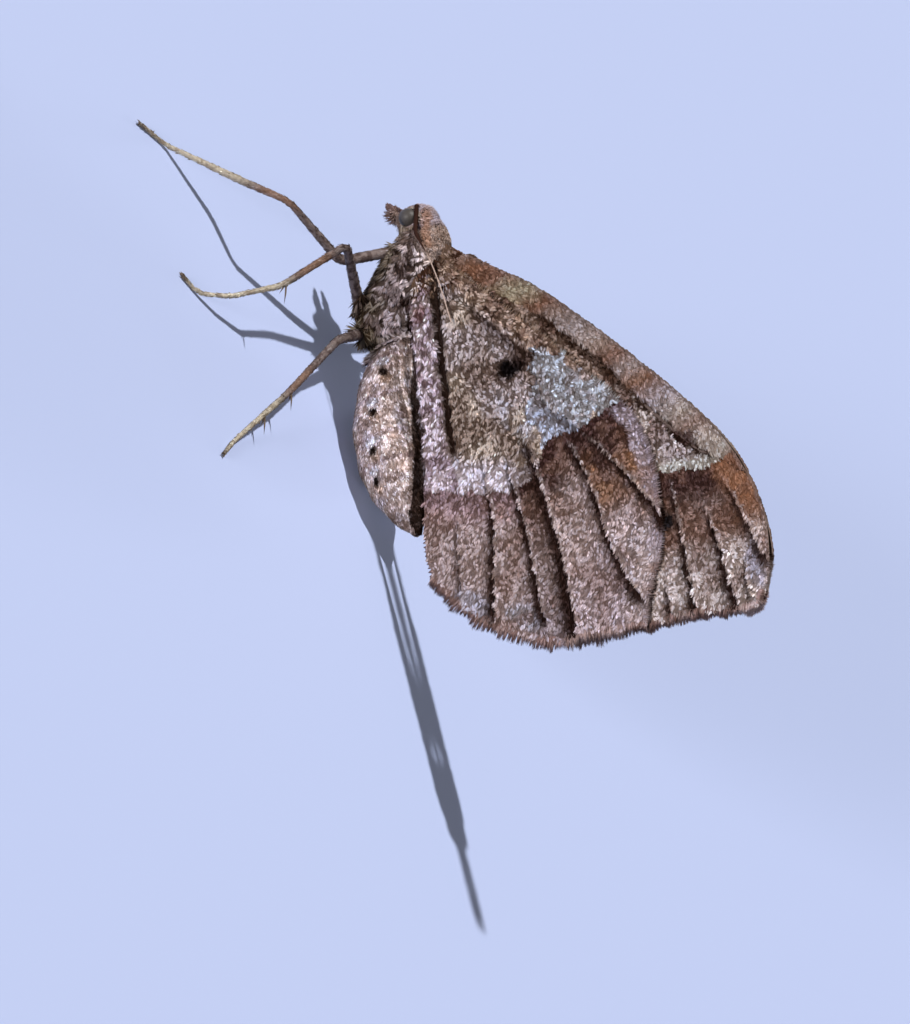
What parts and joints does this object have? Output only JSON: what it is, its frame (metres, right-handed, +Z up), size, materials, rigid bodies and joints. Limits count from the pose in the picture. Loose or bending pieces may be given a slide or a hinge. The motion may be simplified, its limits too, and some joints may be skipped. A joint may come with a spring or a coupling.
{
  "type": "moth",
  "caption": "Life-size still model of a moth standing on six legs with its broad wings closed upright over its back.",
  "frame": {"origin": "on the floor, under the middle of the bounding box", "axes": "+Z up; the moth faces -Y, its left side is +X and its wing tips point to +Y"},
  "size_m": [0.0148, 0.0185, 0.0117],
  "materials": {
    "body_hair": "hair and scales, matte",
    "abdomen_scales": "fine scales, slightly shiny",
    "wing_scales": "powdery scales, matte with a faint silky sheen",
    "eye": "glossy, finely faceted",
    "feeler": "scaled, matte",
    "leg": "scaled, satin"
  },
  "bodies": {
    "root": {"head": "body_hair", "thorax": "body_hair", "abdomen": "abdomen_scales", "eye_left": "eye", "eye_right": "eye", "antenna_left": "feeler", "antenna_right": "feeler", "palp_left": "feeler", "palp_right": "feeler", "forewing_left": "wing_scales", "forewing_right": "wing_scales", "hindwing_left": "wing_scales", "hindwing_right": "wing_scales", "leg_fore_left": "leg", "leg_fore_right": "leg", "leg_mid_left": "leg", "leg_mid_right": "leg", "leg_hind_left": "leg", "leg_hind_right": "leg"}
  },
  "joints": []
}
